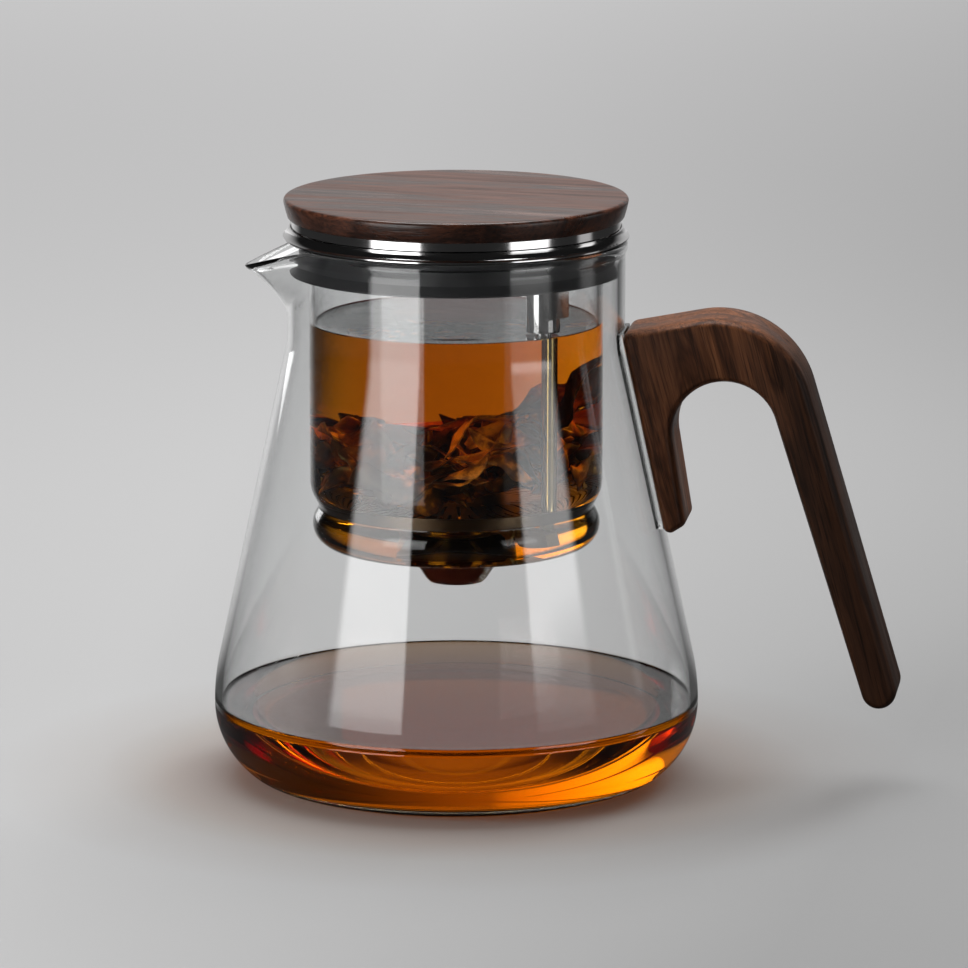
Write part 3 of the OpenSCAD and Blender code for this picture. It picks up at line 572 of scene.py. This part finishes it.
def heap_top(x, y):
    """Height of the heap of leaves: a ridge right of the middle, and low beside the rod."""
    past = 1 / (1 + math.exp(-(x - 25) / 2.0))
    return 96.0 + 2.0 * math.sin(x * 0.16) + 9.0 * max(0.0, x) / 22 - 20.0 * past


def leaf_strip(centre, length, width, turn):
    """A steeped leaf: a thin blade, curled across, bent and twisted along its length, with pointed ends."""
    steps, across, skin = 14, 5, 0.18
    bend, sway = rng.uniform(-0.5, 0.5), rng.uniform(-0.35, 0.35)
    twist, curl = rng.uniform(-2.6, 2.6), rng.uniform(0.7, 2.4)
    ragged = rng.uniform(0.0, 6.28)
    bulge = max(0.2, math.sin(curl * 0.5))
    rows = []
    for k in range(steps):
        t = k / (steps - 1) - 0.5
        taper = max(0.0, 1 - (2 * abs(t)) ** 2.2) ** 0.6
        half = 0.5 * width * (taper * (0.9 + 0.22 * math.sin(ragged + 15 * t)) + 0.03)
        spine = Vector((
            t * length,
            length * (sway * (0.25 - t * t) + 0.05 * math.sin(ragged + 7 * t)),
            length * (bend * (0.25 - t * t) + 0.06 * math.sin(2 * ragged + 9 * t))))
        cos_here, sin_here = math.cos(twist * t), math.sin(twist * t)
        row = []
        for i in range(across):
            u = 2 * i / (across - 1) - 1
            a = u * curl * 0.5
            y = half * math.sin(a) / bulge
            z = half * (1 - math.cos(a)) / bulge + 0.12 * half * math.sin(ragged + 20 * t + 3 * u)
            for thick in (skin, -skin):
                row.append(spine + Vector((
                    0, y * cos_here - (z + thick) * sin_here, y * sin_here + (z + thick) * cos_here)))
        rows.append(row[0::2] + row[1::2][::-1])
    ring = 2 * across
    verts = [turn @ v + centre for row in rows for v in row]
    faces = []
    for k in range(steps - 1):
        for i in range(ring):
            j = (i + 1) % ring
            faces.append([k * ring + i, k * ring + j, (k + 1) * ring + j, (k + 1) * ring + i])
    faces.append(list(range(ring))[::-1])
    faces.append([(steps - 1) * ring + i for i in range(ring)])
    return verts, faces


LEAF_TRIES, LEAF_CENTRES_R, LEAF_REACH = 210, 34.0, 38.3
OVER_SCREEN, ROD_CLEAR, LEAF_PROUD = 0.4, 2.6, 5.0
FIRST_LEAVES_Z = SCREEN_TOP_Z + 3.0
# Leaves that stand out of the heap, listed one by one: centre, length, width and turn.
TALL_LEAVES = [
    ((26.5, 6.0, 111.0), 33.0, 9.0, (0.5, -0.86, 0.1)),
    ((20.0, 12.0, 104.0), 28.0, 11.0, (1.3, -0.55, 0.0)),
    ((6.0, -16.0, 98.0), 30.0, 10.0, (0.9, -0.45, 0.15)),
    ((-22.0, -12.0, 95.0), 22.0, 11.0, (0.4, 0.1, -0.4))]
rod_x, rod_y = ROD_OFFSET * math.cos(ROD_ANGLE), ROD_OFFSET * math.sin(ROD_ANGLE)
all_verts, all_faces = [], []


def leaf_fits(strip):
    """Inside the glass, over the screen, clear of the rod and not far out of the heap."""
    return (
        max(math.hypot(v.x, v.y) for v in strip) <= LEAF_REACH
        and min(v.z for v in strip) >= SCREEN_TOP_Z + OVER_SCREEN
        and min(math.hypot(v.x - rod_x, v.y - rod_y) for v in strip) >= ROD_CLEAR
        and max(v.z - heap_top(v.x, v.y) for v in strip) <= LEAF_PROUD)


def keep_leaf(strip, skin):
    base = len(all_verts)
    all_verts.extend(tuple(v) for v in strip)
    all_faces.extend([base + i for i in face] for face in skin)


for _ in range(LEAF_TRIES):
    angle, radius = rng.uniform(0, 2 * math.pi), LEAF_CENTRES_R * math.sqrt(rng.random())
    x, y = radius * math.cos(angle), radius * math.sin(angle)
    z = FIRST_LEAVES_Z + (heap_top(x, y) - FIRST_LEAVES_Z) * rng.random() ** 0.9
    length, width = rng.uniform(17.0, 34.0), rng.uniform(5.0, 12.0)
    tilt = rng.gauss(0, 0.4)
    heading = angle + math.pi / 2 + rng.gauss(0, 0.45) if radius > 22 else rng.uniform(0, math.pi)
    turn = Euler((rng.uniform(0, 6.28), tilt, heading), "XYZ").to_matrix()
    strip, skin = leaf_strip(Vector((x, y, z)), length, width, turn)
    if leaf_fits(strip):
        keep_leaf(strip, skin)
for centre, length, width, angles in TALL_LEAVES:
    keep_leaf(*leaf_strip(Vector(centre), length, width, Euler(angles, "XYZ").to_matrix()))
leaves = new_object("tea_leaves", all_verts, all_faces, leaf, "infuser")

# ---------------------------------------------------------------- handle, worked from solid walnut
HANDLE = [
    (NECK_R + TIP_OUT, TIP_Z, TIP_R), (NECK_R + CROWN_OUT, CROWN_Z, CROWN_R),
    (beside_cone(ROOT_Z, ROOT_R), ROOT_Z, ROOT_R), (beside_cone(HEEL_Z, HEEL_R), HEEL_Z, HEEL_R),
    (beside_cone(HEEL_Z, HEEL_R) + HEEL_W, HEEL_Z + HEEL_RISE, HEEL_R),
    (NECK_R + ARCH_OUT, ARCH_Z, -ARCH_R)]


def handle_mesh():
    """The outline repeated across the handle and drawn in where its edges are rounded. Both flat sides
    are closed by faces over the tip, the crown, the corner at the root and the glued leg."""
    arc_step = 3.0
    edge = [
        (HANDLE_EDGE_IN * (1 - math.sin(a)), HANDLE_EDGE_DEPTH * (1 - math.cos(a)))
        for a in (math.radians(d) for d in range(0, 91, 10))]
    sections = (
        [(d, y - HANDLE_T / 2) for d, y in edge] + [(0.0, y) for y in (-4.0, 0.0, 4.0)]
        + [(d, HANDLE_T / 2 - y) for d, y in edge[::-1]])
    verts, rows = [], []
    for d, y in sections:
        flat = [p for arc in outline_arcs(moved_in(HANDLE, d), arc_step) for p in arc]
        rows.append(range(len(verts), len(verts) + len(flat)))
        verts += [(p[0], y, p[1]) for p in flat]
    counts = [len(arc) for arc in outline_arcs(HANDLE, arc_step)]
    n = sum(counts)
    faces = []
    for low, high in zip(rows, rows[1:]):
        for i in range(n):
            j = (i + 1) % n
            faces.append([low[i], low[j], high[j], high[i]])
    # The first points of the crown, the root and the arch, and the last point of all.
    crown, root, arch, last = counts[0], sum(counts[:2]), sum(counts[:5]), n - 1
    steps = counts[1] - 1
    side = [list(range(crown + 1)) + [last]]
    side += [[crown + j, crown + j + 1, last - j - 1, last - j] for j in range(steps)]
    side += [[root - 1, root, last - steps]]
    side += [[root, i, i + 1] for i in range(arch, last - steps)]
    side += [list(range(root, arch + 1))]
    for face in side:
        faces.append([rows[0][i] for i in face][::-1])
        faces.append([rows[-1][i] for i in face])
    return verts, faces


verts, faces = handle_mesh()
handle = new_object("walnut_handle", verts, faces, handle_wood, "jug")
handle.data.set_sharp_from_angle(angle=math.radians(40))
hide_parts("handle")

# ---------------------------------------------------------------- walnut disc of the lid
lid_low, lid_high = LID_Z, LID_Z + LID_T
disc_profile = [
    (0.0, lid_low), (20.0, lid_low), (LID_R - 1.7, lid_low), (LID_R - 1.3, lid_low + 0.15),
    (LID_R - 1.05, lid_low + 0.5), (LID_R - 0.5, lid_low + 2.4), (LID_R - 0.12, lid_low + 4.0)]
disc_profile += [
    (LID_R - LID_ROUND + LID_ROUND * math.cos(a), lid_high - LID_ROUND + LID_ROUND * math.sin(a))
    for a in (math.radians(d) for d in range(0, 91, 15))]
disc_profile += [(r, lid_high) for r in (LID_R - 3, 40.0, 30.0, 20.0, 10.0, 0.0)]
verts, faces = revolve(disc_profile, DISC_STEPS)
disc = new_object("walnut_disc", verts, faces, lid_wood, "cap")
disc.data.set_sharp_from_angle(angle=math.radians(50))
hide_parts("lid_disc")

# ---------------------------------------------------------------- surroundings
BACKWARD = (-math.sin(HANDLE_TURN), math.cos(HANDLE_TURN), 0.0)
RIGHTWARD = (math.cos(HANDLE_TURN), math.sin(HANDLE_TURN), 0.0)
# How much of BACKWARD a direction has where the pale part behind the pot begins, and where it is full.
BEHIND = (0.72, 0.97)


def seen_rays(tree):
    """Two values: 1 on camera rays and what glass lets through, and 1 on what glass or metal mirrors."""
    path = light_path(tree)
    sharp = maths(tree, "MAXIMUM", path["Is Glossy Ray"], path["Is Transmission Ray"])
    mirrored = maths(tree, "MULTIPLY", sharp, maths(tree, "GREATER_THAN", path["Glossy Depth"], 0.5))
    through = maths(tree, "SUBTRACT", sharp, mirrored)
    return maths(tree, "MAXIMUM", path["Is Camera Ray"], through), mirrored


def share_of(tree, vector, direction):
    return vectors(tree, "DOT_PRODUCT", vector, direction).outputs["Value"]


# ---------------------------------------------------------------- floor, in metres
FLOOR_LIT_SHARE, FLOOR_GLOW_NEAR, FLOOR_GLOW_FAR, FRONT_MIRRORED = 0.4, 0.47, 0.95, 0.03
FLOOR_HALF, FLOOR_GAP = 12.0, 0.00005
# X over the distance in front of VIEWED_FROM, laid from 0 to 1 over SIDE_SPAN, and the level there: a painted
# fall of light from bright on the left to dark on the right.
PAINTED_LIGHT_LEFT_TO_RIGHT = [(0.0, 0.95), (0.3, 0.8), (0.42, 0.56), (0.58, 0.36), (0.66, 0.1), (1.0, 0.04)]
VIEWED_FROM, LEAST_AHEAD, SIDE_SPAN = 1.5, 0.3, (-0.5, 0.5)
# The least and the greatest of that level on camera rays.
FLOOR_EVEN = (0.36, 0.55)
# From and to which Y the floor grows brighter, by how much, and where its glow grows.
FAR_LIFT_SPAN, FAR_LIFT, GLOW_SPAN = (0.4, 4.0), 0.16, (0.1, 2.2)
# Painted contact shadow under the pot, with a painted amber glow that stands for light through the tea: the
# tint of the floor's glow from the middle of the foot outwards, over FOOT_SPAN.
FOOT_SPAN = (0.03, 0.13)
PAINTED_SHADE_UNDER_POT = [
    (0.0, (0.1, 0.04, 0.015)), (0.3, (0.25, 0.12, 0.06)), (0.5, (0.6, 0.45, 0.36)),
    (0.7, (0.85, 0.8, 0.77)), (1.0, (1.0, 0.995, 1.0))]


def floor_material():
    """A floor that is partly lit and partly glows. It is brighter to the left as a painted fall of light, and
    brighter far behind. It has a painted contact shadow and a painted amber glow under the pot, is more even
    on camera rays, and is dark where glass or metal mirrors its front."""
    mat, tree, shader = node_material("pale_floor")
    set_values(shader, Roughness=0.9)
    place = object_place(tree)
    axes = axes_of(tree, place)
    ahead = maths(tree, "MAXIMUM", maths(tree, "ADD", axes["Y"], VIEWED_FROM), LEAST_AHEAD)
    sideways = spread(tree, maths(tree, "DIVIDE", axes["X"], ahead), *SIDE_SPAN)
    # Painted fall of light from left to right across the floor.
    side = grey_ramp(tree, sideways, PAINTED_LIGHT_LEFT_TO_RIGHT)
    even = add(tree, "ShaderNodeClamp")
    set_values(even, Min=FLOOR_EVEN[0], Max=FLOOR_EVEN[1])
    tree.links.new(side, even.inputs["Value"])
    side_seen = mixed(tree, "FLOAT", light_path(tree)["Is Camera Ray"], side, even.outputs["Result"])
    lift = spread(tree, axes["Y"], *FAR_LIFT_SPAN, 0.0, FAR_LIFT, "SMOOTHSTEP")
    level = maths(tree, "ADD", side_seen, lift)

    direct, mirrored = seen_rays(tree)
    back = share_of(tree, vectors(tree, "NORMALIZE", place).outputs["Vector"], BACKWARD)
    behind = maths(tree, "MULTIPLY", mirrored, spread(tree, back, *BEHIND, kind="SMOOTHSTEP"))
    in_front = maths(tree, "SUBTRACT", mirrored, behind)
    lit = maths(tree, "MULTIPLY", level, FLOOR_LIT_SHARE)
    colour = mixed(tree, "RGBA", in_front, lit, (FRONT_MIRRORED,) * 3 + (1.0,))
    tree.links.new(colour, shader.inputs["Base Color"])

    share = spread(tree, axes["Y"], *GLOW_SPAN, FLOOR_GLOW_NEAR, FLOOR_GLOW_FAR)
    shown = maths(tree, "MAXIMUM", direct, behind)
    glow = maths(tree, "MULTIPLY", maths(tree, "MULTIPLY", level, share), shown)
    tree.links.new(glow, shader.inputs["Emission Strength"])
    # Painted shadow and painted amber glow under the pot, in the colour of the floor's glow.
    from_foot = spread(tree, vectors(tree, "LENGTH", place).outputs["Value"], *FOOT_SPAN)
    tree.links.new(ramp(tree, from_foot, PAINTED_SHADE_UNDER_POT), shader.inputs["Emission Color"])
    return mat


floor_mesh = bpy.data.meshes.new("floor")
floor_mesh.from_pydata(
    [(x * FLOOR_HALF, y * FLOOR_HALF, 0) for x, y in ((-1, -1), (1, -1), (1, 1), (-1, 1))],
    [], [(0, 1, 2, 3)])
floor = bpy.data.objects.new("floor", floor_mesh)
floor.location.z = -FLOOR_GAP
bpy.context.scene.collection.objects.link(floor)
floor_mesh.materials.append(floor_material())

# ---------------------------------------------------------------- camera, found from the photo
CAMERA_ASIDE, CAMERA_PITCH, CAMERA_FAR, CAMERA_HIGH = 0.0044, 0.2032, 1.737, 0.4388
SENSOR, PHOTO_WIDTH, FOCAL_PIXELS = 36.0, 968, 6432
camera_data = bpy.data.cameras.new("camera")
camera_data.sensor_width = SENSOR
camera_data.lens = SENSOR * FOCAL_PIXELS / PHOTO_WIDTH
camera_data.clip_end = 100
camera = bpy.data.objects.new("camera", camera_data)
camera.location = (CAMERA_FAR * math.sin(HANDLE_TURN), -CAMERA_FAR * math.cos(HANDLE_TURN), CAMERA_HIGH)
camera.rotation_euler = (math.pi / 2 - CAMERA_PITCH, 0.0, HANDLE_TURN - CAMERA_ASIDE)
bpy.context.scene.collection.objects.link(camera)
bpy.context.scene.camera = camera

# ---------------------------------------------------------------- lamps, in metres
POT_MIDDLE = Vector((0.0, 0.0, 0.08))


def area_lamp(name, turn, far, height, width, depth, radiance):
    """A panel lamp that no camera ray sees; turn is in degrees from the camera's side, positive to the
    right."""
    data = bpy.data.lights.new(name, "AREA")
    data.shape = "RECTANGLE"
    data.size, data.size_y = width, depth
    data.energy = radiance * width * depth * math.pi
    lamp = bpy.data.objects.new(name, data)
    a = HANDLE_TURN + math.radians(turn)
    lamp.location = (far * math.sin(a), -far * math.cos(a), height)
    lamp.rotation_euler = (math.pi / 2, 0.0, a)
    lamp.visible_camera = False
    bpy.context.scene.collection.objects.link(lamp)
    return lamp


def softbox(name, turn, far, foot, top, width, radiance, upward, across):
    """A panel standing round the pot. upward gives its light at heights in metres, and across from its
    left edge to its right."""
    lamp = area_lamp(name, turn, far, (top + foot) / 2, width, top - foot, radiance)
    lamp.visible_diffuse = False
    lamp.data.use_nodes = True
    tree = lamp.data.node_tree
    axes = axes_of(tree, add(tree, "ShaderNodeNewGeometry").outputs["Parametric"])
    heights = grey_ramp(tree, axes["Y"], [((z - foot) / (top - foot), level) for z, level in upward])
    strength = maths(tree, "MULTIPLY", heights, grey_ramp(tree, axes["X"], across))
    tree.links.new(strength, tree.nodes["Emission"].inputs["Strength"])
    return lamp


def hung_lamp(name, turn, far, height, width, depth, radiance):
    """A panel hung above and aimed at the pot."""
    lamp = area_lamp(name, turn, far, height, width, depth, radiance)
    aim = POT_MIDDLE - lamp.location
    lamp.rotation_euler = aim.to_track_quat("-Z", "Y").to_euler()
    return lamp


softbox(
    "left_panel", turn=-41, far=0.36, foot=0.002, top=0.285, width=0.232, radiance=3.9,
    upward=[(0.002, 0.5), (0.04, 0.62), (0.055, 0.8), (0.085, 0.85), (0.11, 1.0), (0.285, 1.0)],
    across=[(0.0, 0.0), (0.1, 1.0), (0.97, 1.0), (1.0, 0.0)])
softbox(
    "right_panel", turn=50, far=0.36, foot=0.002, top=0.285, width=0.197, radiance=3.2,
    upward=[
        (0.002, 0.08), (0.03, 0.1), (0.055, 0.16), (0.085, 0.22), (0.11, 1.0), (0.145, 1.0),
        (0.185, 0.45), (0.285, 0.3)],
    across=[(0.0, 0.0), (0.06, 1.0), (0.9, 1.0), (1.0, 0.0)])
softbox(
    "edge_strip", turn=98, far=0.5, foot=0.03, top=0.3, width=0.15, radiance=1.3,
    upward=[(0.03, 0.25), (0.12, 0.6), (0.16, 1.0), (0.3, 1.0)],
    across=[(0.0, 0.0), (0.2, 1.0), (0.8, 1.0), (1.0, 0.0)])
far_window = softbox(
    "far_window", turn=-159, far=0.9, foot=0.03, top=0.32, width=0.56, radiance=3.0,
    upward=[(0.03, 0.4), (0.1, 1.0), (0.24, 1.0), (0.32, 0.0)],
    across=[(0.0, 0.0), (0.06, 0.15), (0.35, 0.5), (0.75, 1.0), (0.96, 1.0), (1.0, 0.0)])
hung_lamp("top_panel", turn=180, far=0.3, height=1.25, width=1.0, depth=0.8, radiance=6.0)
back_lamp = hung_lamp(
    "back_panel", turn=140, far=0.55, height=0.5, width=0.22, depth=0.22, radiance=16.0)
front_lamp = hung_lamp(
    "front_panel", turn=-62, far=0.75, height=0.55, width=0.3, depth=0.3, radiance=11.0)
for lamp in (far_window, back_lamp, front_lamp):
    lamp.visible_glossy = False
front_lamp.visible_transmission = False


# ---------------------------------------------------------------- world
# The world's level as it lights matt surfaces, and as it is mirrored from beside and behind the pot.
SKY_LIGHT, MIRRORED_BESIDE, MIRRORED_BEHIND = 0.22, 0.012, 0.7


def light_round(tree):
    """How bright the world is: for what glass lets through a backdrop that fades to the right and
    overhead, for what is mirrored a pale part behind the pot, and for camera rays a plain fade."""
    direct, mirrored = seen_rays(tree)
    way = add(tree, "ShaderNodeTexCoord").outputs["Generated"]
    back = share_of(tree, way, BACKWARD)
    pale = spread(tree, back, *BEHIND, MIRRORED_BESIDE, MIRRORED_BEHIND, "SMOOTHSTEP")
    around = mixed(tree, "FLOAT", mirrored, SKY_LIGHT, pale)
    to_right = share_of(tree, way, RIGHTWARD)
    backdrop = maths(
        tree, "MULTIPLY", spread(tree, to_right, -0.45, 0.35, 1.0, 0.06, "SMOOTHSTEP"),
        spread(tree, axes_of(tree, way)["Z"], 0.26, 0.46, 1.0, 0.03, "SMOOTHSTEP"))
    level = mixed(tree, "FLOAT", direct, around, backdrop)
    beyond = spread(tree, to_right, -0.3, 0.3, 0.66, 0.46, "SMOOTHSTEP")
    return mixed(tree, "FLOAT", light_path(tree)["Is Camera Ray"], level, beyond)


world = bpy.data.worlds.new("studio")
bpy.context.scene.world = world
world.use_nodes = True
tree = world.node_tree
tree.nodes.clear()
sky = add(tree, "ShaderNodeBackground")
tree.links.new(light_round(tree), sky.inputs["Strength"])
tree.links.new(sky.outputs["Background"], add(tree, "ShaderNodeOutputWorld").inputs["Surface"])

bpy.context.scene.view_settings.view_transform = "Standard"
